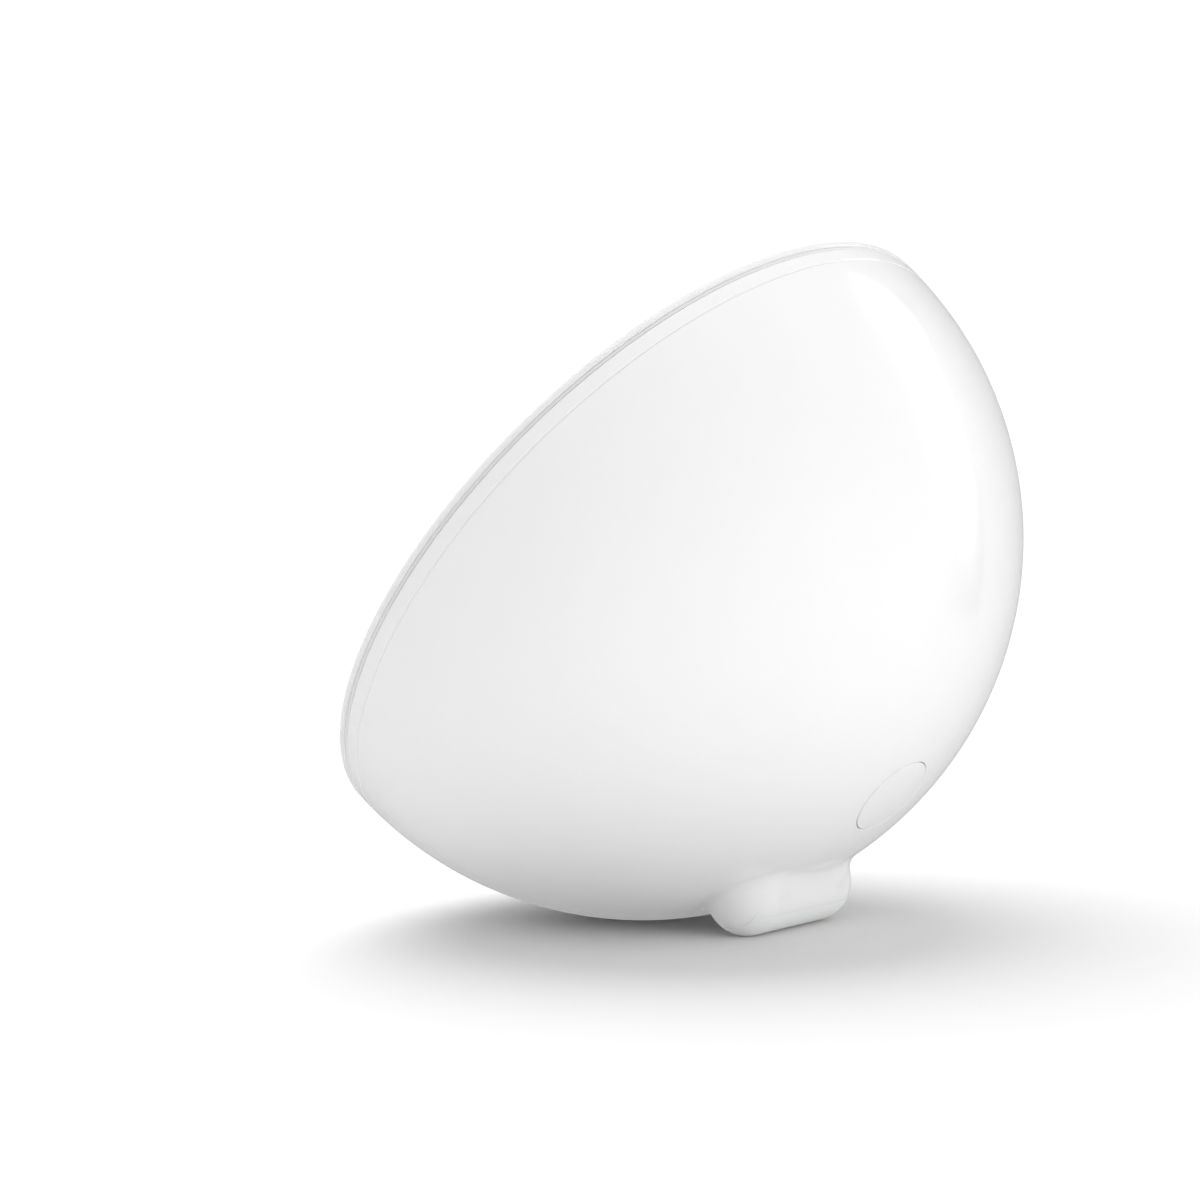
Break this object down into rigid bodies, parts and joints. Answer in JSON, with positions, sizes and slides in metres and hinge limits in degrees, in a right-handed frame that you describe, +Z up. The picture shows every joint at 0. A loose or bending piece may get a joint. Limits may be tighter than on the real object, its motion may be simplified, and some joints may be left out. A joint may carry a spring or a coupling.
{
  "type": "portable table lamp",
  "caption": "Round bowl-shaped rechargeable table lamp that leans on a short bar foot, with a domed light panel across its mouth and a push button at its pole.",
  "frame": {"origin": "on the table under the middle of the lamp's box", "axes": "+Z up, +X across the lamp's width, the light panel faces -Y and upwards"},
  "size_m": [0.15, 0.1232, 0.1324],
  "materials": {
    "bowl_plastic": "glossy moulded",
    "panel_opal": "satin opal diffuser",
    "seal_rubber": "matt",
    "pad_silicone": "satin, slightly translucent",
    "gasket_silicone": "matt",
    "switch_black": "moulded",
    "plunger_plastic": "moulded",
    "circuit_board": "solder mask",
    "led_board_white": "white solder mask on aluminium",
    "screw_steel": "zinc plated",
    "tray_plastic": "moulded",
    "cell_wrap": "heat-shrink wrap",
    "nickel": "nickel strip",
    "foam": "foam",
    "carrier_plastic": "moulded",
    "spreader_aluminium": "turned",
    "thermal_silicone": "soft pad",
    "led_phosphor": "phosphor in white package",
    "reflector_white": "satin white",
    "chip_black": "moulded epoxy",
    "shield_tin": "tinned shield",
    "socket_nylon": "nylon",
    "socket_black": "moulded",
    "contact_brass": "nickel plated",
    "bracket_steel": "pressed",
    "lead_red": "insulation",
    "lead_black": "insulation",
    "lead_yellow": "insulation"
  },
  "bodies": {
    "lamp": {"bowl_shell": "bowl_plastic", "front_panel": "panel_opal", "rim_seal": "seal_rubber", "foot_pad": "pad_silicone", "button_gasket": "gasket_silicone", "tact_switch": "switch_black", "button_board": "circuit_board", "button_board_screws": "screw_steel", "battery_tray": "tray_plastic", "battery_tray_screws": "screw_steel", "battery_cells": "cell_wrap", "battery_tabs": "nickel", "battery_foam": "foam", "chassis_plate": "carrier_plastic", "chassis_screws": "screw_steel", "heat_spreader": "spreader_aluminium", "thermal_pad": "thermal_silicone", "led_board": "led_board_white", "led_packages": "led_phosphor", "led_board_screws": "screw_steel", "reflector": "reflector_white", "main_board": "circuit_board", "main_board_parts": "chip_black", "main_board_screws": "screw_steel", "wireless_module": "shield_tin", "board_sockets": "socket_nylon", "inlet_socket": "socket_black", "inlet_pin": "contact_brass", "inlet_bracket": "bracket_steel", "inlet_screws": "screw_steel", "led_leads": "lead_red", "battery_leads": "lead_red", "inlet_leads": "lead_black", "switch_leads": "lead_yellow"},
    "button": {"power_button": "bowl_plastic"},
    "plunger": {"switch_plunger": "plunger_plastic"}
  },
  "joints": [
    {"name": "button_press", "type": "slide", "parent": "lamp", "child": "button", "axis": [0, -0.766, 0.6428], "range_m": [0, 0.0005], "stiffness_N_per_m": 3000},
    {"name": "plunger_travel", "type": "slide", "parent": "lamp", "child": "plunger", "axis": [0, -0.766, 0.6428], "range_m": [0, 0.0005], "stiffness_N_per_m": 200}
  ],
  "couplings": [
    {"joint": "plunger_travel", "follows": "button_press", "ratio": 1}
  ]
}
